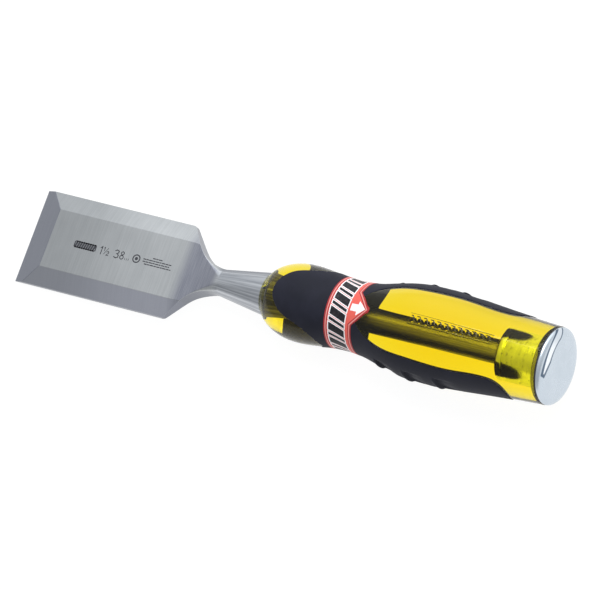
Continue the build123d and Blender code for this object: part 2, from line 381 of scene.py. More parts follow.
class Finish:
    """A material with one Principled shader, and helpers to build its pattern in millimetres."""

    def __init__(self, name):
        self.material = bpy.data.materials.new(name)
        self.material.use_nodes = True
        self.tree = self.material.node_tree
        self.shader = self.tree.nodes["Principled BSDF"]
        place = self.tree.nodes.new("ShaderNodeTexCoord").outputs["Object"]
        self.x, self.y, self.z = (part * 1000.0 for part in self.split(place))
        self.up = self.z - AXIS_Z
        self.angle = self.y.math("ARCTAN2", self.up)
        self.radius = (self.y * self.y + self.up * self.up).math("SQRT")

    def set(self, **values):
        for name, value in values.items():
            self.shader.inputs[name.replace("_", " ")].default_value = value
        return self

    def split(self, vector):
        """The three parts of a vector output."""
        node = self.tree.nodes.new("ShaderNodeSeparateXYZ")
        self.tree.links.new(vector, node.inputs[0])
        return [Socket(self.tree, s) for s in node.outputs]

    def vector(self, x, y, z):
        node = self.tree.nodes.new("ShaderNodeCombineXYZ")
        for n, value in enumerate((x, y, z)):
            feed(self.tree, value, node.inputs[n])
        return node.outputs[0]

    def noise(self, x, y, z, detail=3.0, rough=0.6):
        """Noise from 0 to 1 over coordinates that are already scaled."""
        node = self.tree.nodes.new("ShaderNodeTexNoise")
        node.inputs["Scale"].default_value = 1.0
        node.inputs["Detail"].default_value = detail
        node.inputs["Roughness"].default_value = rough
        self.tree.links.new(self.vector(x, y, z), node.inputs["Vector"])
        return Socket(self.tree, node.outputs[0])

    def grain(self, scale, detail=3.0):
        """Even noise with scale features to the millimetre."""
        return self.noise(self.x * scale, self.y * scale, self.z * scale, detail)

    def mix(self, factor, a, b):
        """Colour a where factor is 0 and b where it is 1."""
        node = self.tree.nodes.new("ShaderNodeMix")
        node.data_type = "RGBA"
        for n, value in ((0, factor), (6, a), (7, b)):
            feed(self.tree, value, node.inputs[n])
        return Socket(self.tree, node.outputs[2])

    def link(self, value, name):
        self.tree.links.new(value.socket, self.shader.inputs[name])
        return self

    def bump(self, height, depth):
        """Relief from a 0 to 1 height, with its depth in millimetres."""
        node = self.tree.nodes.new("ShaderNodeBump")
        node.inputs["Distance"].default_value = depth * MM
        self.tree.links.new(height.socket, node.inputs["Height"])
        self.tree.links.new(node.outputs[0], self.shader.inputs["Normal"])
        return self


def blade_finish():
    """Ground faces, a forged neck and bolster, and the tang as it shows through the handle."""
    f = Finish("ground_blade_steel").set(Metallic=1.0)
    across = f.noise(f.x * 2.2, f.y * 0.05, f.z * 0.05, 5.0, 0.7)
    broad = f.noise(f.x * 0.06, f.y * 0.05, 3.0, 2.0)
    along = f.noise(f.x * 0.02, f.angle * 6.0, 1.0, 4.0, 0.65)
    streak = f.mix(0.4, across, broad)
    upward = f.split(f.tree.nodes.new("ShaderNodeNewGeometry").outputs["Normal"])[2]

    # the flat top, the near side bevel and the cutting bevel, with painted shade that darkens them
    # towards the cutting edge and a painted bluish reflection on the near side bevel
    flat = f.mix(streak.step(0.25, 0.75), (0.37, 0.385, 0.395), (0.5, 0.515, 0.525))
    near_edge = SIDE_BEVEL_WIDTH - HALF_WIDTH
    near_bevel = f.y.step(near_edge - 0.3, near_edge, 1.0, 0.0)
    # painted reflection: the near side bevel is tinted lighter and bluish
    flat = f.mix(near_bevel * 0.5, flat, (0.485, 0.495, 0.605))
    edge_ground = f.mix(across, (0.215, 0.228, 0.285), (0.3, 0.315, 0.38))
    below_plane = f.x * tan(CUTTING_BEVEL) + EDGE_LAND - f.z
    flat = f.mix(below_plane.step(0.05, 0.2), edge_ground, flat)
    # painted shade: the faces darken towards the cutting edge
    flat = f.mix(f.x.step(12.0, 60.0, 0.45, 0.02), flat, (0.2, 0.21, 0.22))

    # the bolster, with forged streaks that are partly painted reflections, and painted dark reflections
    # along its flanks
    on_bolster = f.x.step(85.5, 90.0)
    forged = f.mix(along.step(0.3, 0.7), (0.24, 0.255, 0.285), (0.58, 0.6, 0.63))
    # painted reflection: dark bands along both sides of the bolster
    painted_flank_reflection = f.angle.step(0.6, 1.0) + f.angle.step(-1.65, -1.35, 0.7, 0.0)
    forged = f.mix(painted_flank_reflection * 0.85, forged, (0.13, 0.145, 0.175))

    # the ramp up to the neck, with cross-ground streaks and painted shade, and the upright walls, with
    # painted shade that differs on the two sides
    ramp = f.x.step(69.0, 75.0) * f.x.step(86.0, 89.0, 1.0, 0.0) * upward.step(0.82, 0.95)
    ramp_streak = f.noise(f.x * 4.0, f.y * 0.06, 7.0, 5.0, 0.7)
    # painted shade: the ramp is darker than the flat top
    ramp_streaks_and_shade = f.mix(ramp_streak.step(0.3, 0.7), (0.21, 0.22, 0.265), (0.33, 0.34, 0.385))
    colour = f.mix(ramp, f.mix(on_bolster, flat, forged), ramp_streaks_and_shade)
    wall = abs(upward).step(0.05, 0.45, 1.0, 0.0) * f.x.step(84.0, 91.0, 1.0, 0.0)
    # painted shade: the +Y wall darkens towards the neck, and the -Y wall has one darker tone
    far_wall_painted_shade = f.mix(f.x.step(76.0, 83.0), (0.26, 0.27, 0.305), (0.13, 0.145, 0.17))
    painted_wall_shade = f.mix(f.y.step(-3.0, 3.0), (0.185, 0.195, 0.23), far_wall_painted_shade)
    colour = f.mix(wall * 0.85, colour, painted_wall_shade)

    # painted shade inside the handle: the tang is darkened, less towards its rear, and the end of the
    # bolster and the start of the tang are painted near black
    tang = f.x.step(BOLSTER_END_X - 0.5, BOLSTER_END_X + 0.5)
    colour = f.mix(tang * f.x.step(160.0, 215.0, 0.75, 0.2), colour, (0.1, 0.095, 0.1))
    # painted shade: near black and streaked where the bolster's end and the tang's start sit in the
    # handle's nose
    scale = f.x.step(109.7, 110.7) * f.x.step(122.0, 140.0, 1.0, 0.0)
    dark = f.mix(along.step(0.4, 0.7), (0.03, 0.028, 0.022), (0.16, 0.155, 0.14))
    f.link(f.mix(scale, colour, dark), "Base Color")
    polish = f.mix(on_bolster, streak, along)
    f.link(tang * 0.12 + polish.math("MULTIPLY_ADD", -0.16, 0.4), "Roughness")
    return f.bump(polish, 0.02).material


def amber_finish():
    f = Finish("clear_amber_plastic")
    f.set(Base_Color=(1.0, 0.98, 0.08, 1.0), Roughness=0.02, IOR=1.48, Transmission_Weight=1.0)
    f.set(Specular_Tint=(0.6, 0.58, 0.42, 1.0))
    ripple = f.noise(f.x * 0.05, f.y * 0.1, f.z * 0.1, 1.0)
    f.bump(ripple, 0.08)
    volume = f.tree.nodes.new("ShaderNodeVolumeAbsorption")
    volume.inputs["Color"].default_value = (0.99, 0.885, 0.02, 1.0)
    volume.inputs["Density"].default_value = 80.0
    out = f.tree.nodes["Material Output"]
    f.tree.links.new(volume.outputs[0], out.inputs["Volume"])
    return f.material


def rubber_finish():
    f = Finish("black_grip_rubber").set(IOR=1.38, Specular_IOR_Level=0.35)
    fine = f.grain(5.0, 4.0)
    wear = f.grain(0.12, 3.0)
    f.link(f.mix(wear.step(0.35, 0.7), (0.0075, 0.0085, 0.017), (0.012, 0.013, 0.024)), "Base Color")
    f.link(wear.math("MULTIPLY_ADD", 0.15, 0.6), "Roughness")
    return f.bump(fine, 0.035).material


def label_finish():
    """Red film with bordered edges, slanted bars on the band and an arrow on the tab."""
    f = Finish("printed_label_film").set(Specular_IOR_Level=0.2)
    red, deep, pale = (0.72, 0.115, 0.09), (0.36, 0.025, 0.03), (0.74, 0.28, 0.25)
    black, white = (0.012, 0.012, 0.016), (0.86, 0.86, 0.88)
    waist_r = 14.0
    arc = f.angle * waist_r
    off_centre = abs(arc)
    mid = (LABEL_X + LABEL_END_X) / 2

    # thin lines along the edges of the band and of the tab
    tab_half, tab_slope, tab_lean = 7.0, (LABEL_TIP_X - LABEL_END_X) / 7.2, 0.73
    from_tip = ((off_centre * tab_slope + f.x) * -1.0) + LABEL_TIP_X
    from_edge = (abs(f.x - mid) * -1.0) + (LABEL_END_X - LABEL_X) / 2
    over_tab = (off_centre < tab_half) * (f.x > mid)
    edge_gap = f.mix(over_tab, from_edge, from_tip * tab_lean)
    colour = f.mix(edge_gap < 1.5, red, deep)
    colour = f.mix(edge_gap < 1.1, colour, pale)
    colour = f.mix(edge_gap < 0.65, colour, deep)

    # broad and narrow black bars with white borders; beat counts a pair from 0 to 1
    pitch, lean, row_x = 6.4, 0.35, mid - 0.5
    beat = ((arc + (f.x - mid) * lean) * (1 / pitch)).math("FRACT")
    broad = abs(beat - 0.34)
    narrow = abs(beat - 0.84)
    row = abs(f.x - row_x)
    white_part = (broad < 0.31).math("MAXIMUM", narrow < 0.15)
    black_part = (broad < 0.245).math("MAXIMUM", narrow < 0.095)
    colour = f.mix((row < 3.9) * white_part, colour, white)
    colour = f.mix((row < 3.45) * black_part, colour, black)

    # the arrow
    head_x, head_half, head_slope = 155.4, 2.9, 0.78
    stem_x, stem_half = 152.5, 1.4
    head = (f.x > head_x) * ((f.x - head_x) * head_slope + off_centre < head_half)
    stem = (off_centre < stem_half) * (f.x > stem_x) * (f.x < head_x + 0.05)
    colour = f.mix(head.math("MAXIMUM", stem), colour, white)

    scuff = f.grain(0.9, 4.0)
    colour = f.mix(scuff.step(0.45, 0.8) * 0.07, colour, (0.6, 0.45, 0.45))
    f.link(colour, "Base Color")
    f.link(scuff.math("MULTIPLY_ADD", 0.2, 0.3), "Roughness")
    return f.bump(scuff, 0.02).material


def sleeve_finish():
    f = Finish("turned_sleeve_steel").set(Metallic=1.0)
    rings = f.noise(f.x * 4.0, 0.3, 0.7, 4.0, 0.7)
    blotch = f.noise(f.x * 0.35, f.angle * 1.2, 2.0, 3.0)
    shade = rings * 0.4 + blotch * 0.6
    spots = f.noise(f.x * 0.6, f.angle * 2.8, 5.0, 2.0).step(0.55, 0.7)
    metal = f.mix(shade.step(0.3, 0.7), (0.72, 0.8, 0.7), (0.88, 0.97, 0.84))
    f.link(f.mix(spots * 0.5, metal, (0.3, 0.33, 0.2)), "Base Color")
    f.link(rings.math("MULTIPLY_ADD", 0.1, 0.12), "Roughness")
    return f.bump(rings, 0.02).material


def washer_finish():
    f = Finish("black_washer_plastic")
    fine = f.grain(3.0, 3.0)
    f.link(f.mix(fine, (0.014, 0.014, 0.018), (0.026, 0.026, 0.032)), "Base Color")
    f.link(fine.math("MULTIPLY_ADD", 0.2, 0.35), "Roughness")
    return f.bump(fine, 0.02).material


def cap_finish():
    f = Finish("satin_cap_chrome").set(Metallic=1.0)
    rings = f.noise(f.radius * 3.0, 0.2, f.x * 0.5, 4.0, 0.6)
    smear = f.grain(0.12, 4.0)
    satin = f.mix(smear.step(0.3, 0.75), (0.54, 0.605, 0.67), (0.59, 0.655, 0.72))
    # a polished crescent near the rim, painted bright as a highlight, with a painted dark outline round
    # it, both weaker towards +Y
    depths = [f.y * a + f.up * b + c for a, b, c in PAINTED_HIGHLIGHT_LINES]
    for (y, up, r), side in PAINTED_HIGHLIGHT_CIRCLES:
        across, above = f.y - y, f.up - up
        depths.append(((across * across + above * above).math("SQRT") - r) * side)
    inside = depths[0]
    for depth in depths[1:]:
        inside = inside.math("MINIMUM", depth)
    front = f.x > CAP_X + 0.3
    bright = inside.step(-0.05, 0.05) * front
    width = f.y.step(-7.0, 6.0, 1.0, 0.5) * PAINTED_OUTLINE_WIDTH
    # painted dark outline round the painted highlight
    line = abs(inside).step(width * 0.5, width, 1.0, 0.0) * front
    colour = f.mix(bright * f.y.step(3.0, 9.0, 1.0, 0.25), satin, (0.86, 0.9, 0.94))
    colour = f.mix(line * 0.9, colour, (0.05, 0.09, 0.15))
    # the spigot shows through the clear plastic: black behind a slanting line, brownish before it
    line_x = f.y.step(-6.0, 6.0, 233.2, SPIGOT_X)
    spigot = f.mix(f.x > line_x, (0.4, 0.38, 0.3), (0.02, 0.02, 0.022))
    f.link(f.mix(f.x < CAP_X - 0.1, colour, spigot), "Base Color")
    f.link(bright.step(0.0, 1.0, 0.24, 0.1) + smear * 0.06, "Roughness")
    return f.bump(rings * 0.5 + smear * 0.5, 0.01).material


def etch_finish():
    f = Finish("dark_etched_mark").set(Metallic=0.3)
    speck = f.grain(4.0, 4.0)
    f.link(f.mix(speck.step(0.35, 0.75), (0.02, 0.02, 0.027), (0.07, 0.073, 0.085)), "Base Color")
    f.link(speck.math("MULTIPLY_ADD", 0.2, 0.5), "Roughness")
    return f.bump(speck, 0.01).material


# ---- blade, neck, bolster and tang

def bolster_r(x):
    return NECK_R + (x - NECK_X) / (BOLSTER_END_X - NECK_X) * (BOLSTER_END_R - NECK_R)


def blade_half_width(x):
    """Straight sides, a rounded shoulder corner, the slanting shoulder and the sweep to the neck."""
    setback = SHOULDER_CORNER_R * tan(SHOULDER / 2)
    corner_x = SHOULDER_X - setback
    slant_x = SHOULDER_X + setback * cos(SHOULDER)
    sweep_x = NECK_X - NECK_SWEEP_R * sin(SHOULDER)
    if x <= corner_x:
        width = HALF_WIDTH
    elif x <= slant_x:
        run = x - corner_x
        width = HALF_WIDTH - SHOULDER_CORNER_R + sqrt(SHOULDER_CORNER_R ** 2 - run ** 2)
    elif x <= sweep_x:
        width = HALF_WIDTH - (x - SHOULDER_X) * tan(SHOULDER)
    else:
        run = max(NECK_X - x, 0.0)
        width = NECK_R + NECK_SWEEP_R - sqrt(NECK_SWEEP_R ** 2 - run ** 2)
    return float(smooth_max(width, bolster_r(x), NECK_BLEND)) if x > RAMP_X else width


def rise(x, start, end, height):
    """A circular arc that leaves start level and has climbed by height at end."""
    radius = ((end - start) ** 2 + height ** 2) / (2 * height)
    run = min(max(x - start, 0.0), end - start)
    return radius - sqrt(radius ** 2 - run ** 2)


def blade_section(x):
    """Half width, underside, top and corner rounding of the forging at a station."""
    width = blade_half_width(x)
    if x >= ROUND_TO_X:
        r = bolster_r(x)
        return r, AXIS_Z - r, AXIS_Z + r, r
    top = min(THICKNESS, EDGE_LAND + x * tan(CUTTING_BEVEL)) + rise(x, RAMP_X, NECK_X, RAMP_RISE)
    depth = AXIS_Z - bolster_r(ROUND_TO_X)
    bottom = depth * float(smooth_step(BACK_DROP_X, ROUND_TO_X + 3.0, x)) * BACK_DROP_SHARE
    if x > RAMP_X:
        blend = float(smooth_step(BACK_DROP_X, ROUND_TO_X, x))
        top += (AXIS_Z + bolster_r(x) - top) * blend
        bottom += (AXIS_Z - bolster_r(x) - bottom) * blend
        width += (bolster_r(x) - width) * float(smooth_step(NECK_X - 2.0, ROUND_TO_X, x))
    roundest = min(width, (top - bottom) / 2)
    small = min(EDGE_ROUND, 0.4 * (top - bottom))
    t = min(max((x - ROUND_FROM_X) / (ROUND_TO_X - ROUND_FROM_X), 0.0), 1.0)
    return width, bottom, top, small + (roundest - small) * t ** 2


# Directions of a section's outline on one side: underside to wall, wall to bevel, bevel to top
BEVEL_NORMAL = np.array([SIDE_BEVEL_SLOPE, 1.0]) / sqrt(1 + SIDE_BEVEL_SLOPE ** 2)
BEVEL_ANGLE = np.degrees(np.arctan2(BEVEL_NORMAL[1], BEVEL_NORMAL[0]))
BEVEL_OFFSET = float(BEVEL_NORMAL @ [HALF_WIDTH, SIDE_WALL])
CORNER_FANS = [
    np.linspace(-90, 0, 13), np.linspace(0, BEVEL_ANGLE, 9), np.linspace(BEVEL_ANGLE, 90, 5),
]


def section_ring(x):
    """One ring of the forging: its points, and the support distance in each point's direction."""
    width, bottom, top, r = blade_section(x)
    corner_z = (BEVEL_OFFSET - r - BEVEL_NORMAL[0] * (width - r)) / BEVEL_NORMAL[1]
    corner_y = (BEVEL_OFFSET - r - BEVEL_NORMAL[1] * (top - r)) / BEVEL_NORMAL[0]
    if corner_z >= top - r:
        wall = face = (width - r, top - r)
    else:
        wall, face = (width - r, corner_z), (corner_y, top - r)
    corners = [(width - r, bottom + r), wall, face]
    points, support = [], []
    for (cy, cz), fan in zip(corners, CORNER_FANS):
        for a in np.radians(fan):
            points.append((cy + r * cos(a), cz + r * sin(a)))
            support.append(cy * cos(a) + cz * sin(a) + r)
    return np.array(points), np.array(support)


def make_forging():
    """Blade, neck and bolster as rounded sections, then the bolster's end and the tang, turned."""
    stations = np.unique(np.round(np.concatenate([
        [0, 0.35, 1, 2, 3, 3.6, 4.2, 5, 6, 7, 8, 9, 10, BEVEL_TOP_X - CREASE, BEVEL_TOP_X + CREASE],
        np.arange(12, 67, 3.0),
        np.arange(RAMP_X - 3, ROUND_TO_X + 2, 0.3),
        np.linspace(ROUND_TO_X + 2.5, BOLSTER_END_X - 0.5, 22),
    ]), 4))
    angles = np.concatenate(CORNER_FANS)
    directions = np.radians(np.concatenate([angles, 180 - angles[::-1]]))
    count = len(directions)
    verts, normals = [], []

    # normals come from how the section's outline moves along the tool, over a small delta
    delta = 0.02
    for x in stations:
        points, _ = section_ring(x)
        low, high = section_ring(max(x - delta, 0))[1], section_ring(x + delta)[1]
        slope = (high - low) / (delta + min(x, delta))
        slope = np.concatenate([slope, slope[::-1]])
        ring = np.concatenate([points, points[::-1] * [-1, 1]])
        verts += [(x, y, z) for y, z in ring]
        normal = np.stack([-slope, np.cos(directions), np.sin(directions)], -1)
        normals += list(normal / np.linalg.norm(normal, axis=1)[:, None])

    tail = [
        (BOLSTER_END_X - 0.3, bolster_r(BOLSTER_END_X - 0.3)),
        (BOLSTER_END_X - 0.05, BOLSTER_END_R - 0.1),
        (BOLSTER_END_X, BOLSTER_END_R - 0.4),
        (BOLSTER_END_X, TANG_ROOT_R + 0.3),
        (BOLSTER_END_X + 0.3, TANG_ROOT_R - 0.04),
        (TANG_TAPER_END_X - 1.0, TANG_R + 0.143),
        (TANG_TAPER_END_X, TANG_R + 0.03),
        (TANG_TAPER_END_X + 1.0, TANG_R),
        (TANG_END_X - 0.3, TANG_R),
        (TANG_END_X, TANG_R - 0.3),
        (TANG_END_X, 0.01),
    ]
    for n, (x, r) in enumerate(tail):
        x0, r0 = tail[max(n - 1, 0)]
        x1, r1 = tail[min(n + 1, len(tail) - 1)]
        out = Vector((-(r1 - r0), x1 - x0)).normalized()
        for a in directions:
            verts.append((x, r * cos(a), AXIS_Z + r * sin(a)))
            normals.append((out[0], out[1] * cos(a), out[1] * sin(a)))

    rows = len(stations) + len(tail)
    faces = [face[::-1] for face in grid_faces(rows, count)]
    faces.append(tuple(reversed(range(count))))
    faces.append(tuple((rows - 1) * count + k for k in range(count)))
    return verts, faces, normals


def blade_marks():
    """Etched marks on the blade's face: a hatched bar, the size, a ring and short dashes."""
    height, sink = THICKNESS + 0.012, THICKNESS - 0.02
    verts, faces = [], []

    def prism(outline):
        base, n = len(verts), len(outline)
        verts.extend((x, y, sink) for x, y in outline)
        verts.extend((x, y, height) for x, y in outline)
        faces.append(tuple(base + k for k in reversed(range(n))))
        faces.append(tuple(base + n + k for k in range(n)))
        for k in range(n):
            m = (k + 1) % n
            faces.append((base + k, base + m, base + n + m, base + n + k))

    def stroke(points, width):
        for (x0, y0), (x1, y1) in zip(points, points[1:]):
            along = Vector((x1 - x0, y1 - y0)).normalized() * (width / 2)
            side = Vector((-along.y, along.x))
            a, b = Vector((x0, y0)) - along, Vector((x1, y1)) + along
            prism([tuple(a - side), tuple(b - side), tuple(b + side), tuple(a + side)])

    def loop(cx, cy, rx, ry, width, count=28):
        base = len(verts)
        rings = ((0, sink), (0, height), (width, height), (width, sink))
        for inset, z in rings:
            for k in range(count):
                t = 2 * pi * k / count
                verts.append((cx + (rx - inset) * cos(t), cy + (ry - inset) * sin(t), z))
        for ring in range(4):
            low, high = base + ring * count, base + (ring + 1) % 4 * count
            for k in range(count):
                m = (k + 1) % count
                faces.append((low + k, low + m, high + m, high + k))

    # a bar with rounded ends, hatched
    x0, x1, half = 22.5, 32.6, 1.35
    stroke([(x0 + 0.5, half - 0.2), (x1 - 0.5, half - 0.2)], 0.4)
    stroke([(x0 + 0.5, 0.2 - half), (x1 - 0.5, 0.2 - half)], 0.4)
    for x in (x0 + 0.25, x1 - 0.25):
        stroke([(x, -half + 0.55), (x, half - 0.55)], 0.5)
    for k in range(9):
        x = x0 + 1.0 + k * (x1 - x0 - 2.0) / 8
        stroke([(x - 0.22, -half + 0.3), (x + 0.22, half - 0.3)], 0.82)
    # the size, 1 1/2 and 38, and three short strokes in place of the unit
    line = 0.36
    stroke([(34.5, 0.9), (35.15, 1.5), (35.15, -1.5)], line)
    stroke([(36.05, 1.1), (36.4, 1.5), (36.4, 0.1)], 0.26)
    stroke([(36.5, -1.3), (37.9, 1.4)], 0.22)
    two = [(37.7, -0.2), (38.1, 0.15), (38.55, -0.1), (38.5, -0.55), (37.65, -1.5), (38.65, -1.5)]
    stroke(two, 0.26)
    stroke([(41.2, 1.2), (41.9, 1.6), (42.75, 1.3), (42.8, 0.6), (42.1, 0.15)], line)
    stroke([(42.1, 0.15), (42.95, -0.35), (42.9, -1.2), (42.1, -1.6), (41.2, -1.25)], line)
    loop(44.6, 0.82, 0.82, 0.8, line)
    loop(44.6, -0.8, 0.95, 0.92, line)
    for x in (46.2, 47.0, 47.8):
        stroke([(x, -1.45), (x, -0.8)], 0.2)
    # a plain ring with a dot
    loop(51.1, 0.1, 1.75, 1.75, 0.5)
    loop(51.1, 0.1, 0.7, 0.7, 0.69, 16)
    # rows of dashes
    rows = [(1.75, 58.3, 62.3), (0.75, 54.3, 66.6), (-0.2, 54.3, 66.0), (-1.15, 55.2, 66.9)]
    sizes, dash_gap = (0.9, 0.55, 1.2, 0.7), 0.6
    for y, x, end in rows:
        dash = 0
        while x < end:
            size = sizes[dash % len(sizes)]
            stroke([(x, y), (min(x + size, end), y)], 0.42)
            x += size + dash_gap
            dash += 1
    return verts, faces


# ---- clear body

def panel_height(x, angle):
    """A raised border on the top of the rear window, with a row of slanting ribs inside it."""
    arc = np.radians(angle) * handle_r(x)
    low, high = (np.radians(a) * handle_r(x) for a in PANEL_A)
    ends, sides = np.minimum(x - PANEL_X[0], PANEL_X[1] - x), np.minimum(arc - low, high - arc)
    inside = np.minimum(ends, sides)
    ridge = 1 - np.abs(inside - PANEL_LINE) / PANEL_LINE
    beat = np.abs((x + 0.5 * arc) / RIB_PITCH % 1 - 0.5)
    rib = smooth_step(0.3, 0.18, beat) * smooth_step(RIB_MARGIN - 0.2, RIB_MARGIN + 0.1, inside)
    return PANEL_RISE * smooth_step(0, 1, ridge) + RIB_RISE * rib


def strip_trough(x, angle):
    """How far the body is cut back under the side strips, to clear the steps in the rubber."""
    start, end = TROUGH_X
    across = smooth_step(*TROUGH_HALF_ANGLES, np.abs(np.abs(angle) - 90))
    ramps = smooth_step(start, start + TROUGH_RAMP, x), smooth_step(end, end - TROUGH_RAMP, x)
    return TROUGH_DEPTH * across * ramps[0] * ramps[1]


def make_body():
    """The clear body: its outer face, then its rear face and bores, with their mouth at the nose."""
    stations = [
        np.linspace(110.4, 113, 14),
        np.linspace(113.3, BODY_END_X - BODY_EDGE, 150),
        np.arange(PANEL_X[0] - 1, PANEL_X[1] + 1, 0.22),
    ]
    stations = np.unique(np.round(np.concatenate(stations), 3))
    angles = [np.arange(-180, 180, 2.0), np.arange(PANEL_A[0] - 2, PANEL_A[1] + 2, 0.6)]
    angles = np.unique(np.round(np.concatenate(angles), 3))
    xs, aa = np.meshgrid(stations, angles, indexing="ij")
    outer = on_handle(xs, aa, panel_height(xs, aa) - strip_trough(xs, aa)).reshape(-1, 3)
    bore = TANG_R - SEAT
    end_r = float(handle_r(BODY_END_X))
    inner = [
        (BODY_END_X - 0.04, end_r - 0.04),
        (BODY_END_X, end_r - BODY_EDGE),
        (BODY_END_X, SPIGOT_R - SEAT),
        (SPIGOT_X, SPIGOT_R - SEAT),
        (SPIGOT_X, SLEEVE_R - SEAT),
        (SLEEVE_X, SLEEVE_R - SEAT),
        (SLEEVE_X, bore),
        (TANG_TAPER_END_X, bore),
        (BOLSTER_END_X, TANG_ROOT_R - SEAT),
        (BOLSTER_END_X, BOLSTER_END_R - SEAT),
        (112.0, bolster_r(112.0) - SEAT),
        (110.3, bolster_r(110.3) - SEAT),
        (110.15, 8.5),
    ]
    turned, _ = lathe(inner, angles)
    verts = np.concatenate([outer, turned])
    return verts, grid_faces(len(stations) + len(inner), len(angles), wrap_rows=True)


# ---- rubber grip

def boundary_angle(x, side):
    """Half angle of the tongue, or of the rear window, at a station."""
    if x <= TONGUE_END_X:
        return float(np.interp(x, *TONGUE_CURVES[side]))
    if x >= WINDOW_START_X:
        return float(np.interp(x, *WINDOW_CURVES[side]))
    return float(np.interp(x, *np.array(WAIST, float).T))


def quarter_angles(x, side):
    """Column angles from the top or bottom line to the handle's side, crowded at the boundary."""
    split = min(max(boundary_angle(x, side), 0.0), 90.0)
    s = np.linspace(0, 1, SPLIT + 1)
    inner = split * (1 - (1 - s) ** CLUSTER)
    s = np.linspace(0, 1, QUARTER - SPLIT + 1)[1:]
    return np.concatenate([inner, split + (90 - split) * s ** CLUSTER])


def edge_distance(x, angle, side):
    """How far points of one quarter are from the rubber's edge, along the surface."""
    curves = []
    for curve in (TONGUE_CURVES[side], WINDOW_CURVES[side]):
        cx, ca = (values[::4] for values in curve)
        curves.append(np.stack([cx, np.radians(ca) * handle_r(cx)], -1))
    edge = np.concatenate(curves)
    points = np.stack([x, np.radians(angle) * handle_r(x)], -1)
    best = np.full(len(points), 1e9)
    for start in range(len(edge) - 1):
        a, b = edge[start], edge[start + 1]
        span = b - a
        if start == len(curves[0]) - 1 or not span.any():
            continue
        t = np.clip(((points - a) @ span) / (span @ span), 0, 1)
        gap = points - a - t[:, None] * span
        best = np.minimum(best, (gap * gap).sum(1))
    return np.sqrt(best)


def notch_relief(x, angle):
    """Steps across the side strips, like scales: a raised lip, a drop, then a slow rise."""
    across = smooth_step(19.5, 13.5, np.abs(angle - 90))
    relief = np.zeros_like(x)
    for station in NOTCHES:
        d = x - station
        lip = np.exp(-((d + 0.7) / 0.7) ** 2)
        drop = smooth_step(-0.3, 0.05, d) * smooth_step(NOTCH_RUN, 0.3, d)
        relief += NOTCH_LIP * lip - NOTCH_DROP * drop
    return relief * across


def grip_stations():
    """Stations of the rubber's mesh, crowded at the tips, at the windows' ends and at the notches."""
    parts = [
        TONGUES["below"][0][0] + np.linspace(0, 1, 8) ** 2 * 0.75,
        TONGUES["above"][0][0] + np.linspace(0, 1, 18) ** 2 * 4.0,
        np.arange(122.6, 137.0, 0.6),
        TONGUE_END_X - np.linspace(1, 0, 9) ** 2 * 2.0,
        np.arange(139.3, 153.9, 0.5),
        WINDOW_START_X + np.linspace(0, 1, 10) ** 2 * 2.2,
        WINDOWS["below"][0][0] + np.linspace(0, 1, 14) ** 2 * 4.0,
        np.arange(161.0, 214.0, 0.8),
        WINDOW_REAR[-1][0] - np.linspace(1, 0, 22) ** 1.7 * 8.0,
    ]
    for station in NOTCHES:
        parts.append(np.arange(station - 3.0, station + 3.0, 0.2))
        parts.append(np.arange(station - 0.5, station + 0.3, 0.05))
    parts.append(np.array([LABEL_X - 0.4, LABEL_X, LABEL_END_X]))
    return np.unique(np.round(np.concatenate(parts), 2))


def grip_quarter(stations, side):
    """Column angles and relief for the quarter from the top or bottom line to the handle's side."""
    angles = np.array([quarter_angles(x, side) for x in stations])
    xs = np.repeat(stations[:, None], QUARTER + 1, 1)
    gap = edge_distance(xs.ravel(), angles.ravel(), side).reshape(xs.shape)
    height = PROUD_WAIST + (PROUD - PROUD_WAIST) * (
        smooth_step(141, 134, xs) + smooth_step(156, 163, xs))
    face = -EDGE_SINK + (height + EDGE_SINK) * lip_share(gap, LIP_R)
    return angles, face + notch_relief(xs, angles)


def make_grip():
    """The rubber as two skins over a grid of cells, joined by walls wherever a rubber cell ends."""
    stations = grip_stations()
    above, out_above = grip_quarter(stations, "above")
    below, out_below = grip_quarter(stations, "below")
    count = 4 * QUARTER
    angle_rows, out_rows = [], []
    for i in range(len(stations)):
        half = np.concatenate([above[i], 180 - below[i][-2::-1]])
        angle_rows.append(np.concatenate([half, 360 - half[-2:0:-1]]))
        half = np.concatenate([out_above[i], out_below[i][-2::-1]])
        out_rows.append(np.concatenate([half, half[-2:0:-1]]))
    angles, outs = np.array(angle_rows), np.array(out_rows)
    full_x = np.repeat(stations[:, None], count, 1)
    outer = on_handle(full_x, angles, outs).reshape(-1, 3)
    inner = on_handle(full_x, angles, -GRIP_DEPTH).reshape(-1, 3)
    verts = np.concatenate([outer, inner])
    total = len(outer)
    middle = ((stations[1:] + stations[:-1]) / 2)[:, None]
    from_top = np.minimum(np.arange(count), np.arange(count)[::-1])
    rubber = np.ones((len(stations) - 1, count), bool)
    for side, from_line in (("above", from_top), ("below", 2 * QUARTER - 1 - from_top)):
        near = from_line < SPLIT
        tongue = near & (middle > TONGUES[side][0][0])
        rubber &= (from_line >= QUARTER) | (middle > TONGUE_END_X) | tongue
        rubber &= ~near | (middle < WINDOWS[side][0][0])
    faces = []
    rows = len(rubber)
    for i, j in zip(*np.nonzero(rubber)):
        k = (j + 1) % count
        a, b = i * count + j, i * count + k
        c, d = b + count, a + count
        faces.append((d, c, b, a))
        faces.append((total + a, total + b, total + c, total + d))
        sides = (
            (i == 0 or not rubber[i - 1, j], a, b),
            (i == rows - 1 or not rubber[i + 1, j], c, d),
            (not rubber[i, j - 1], d, a),
            (not rubber[i, k], b, c),
        )
        for is_open, p, q in sides:
            if is_open:
                faces.append((p, q, total + q, total + p))
    return verts, faces


# ---- label

def film_height(gap):
    """Height of the label's face over the handle, at a distance from the film's edge."""
    return -LABEL_SINK + (LABEL_PROUD + LABEL_SINK) * lip_share(gap, LABEL_EDGE)


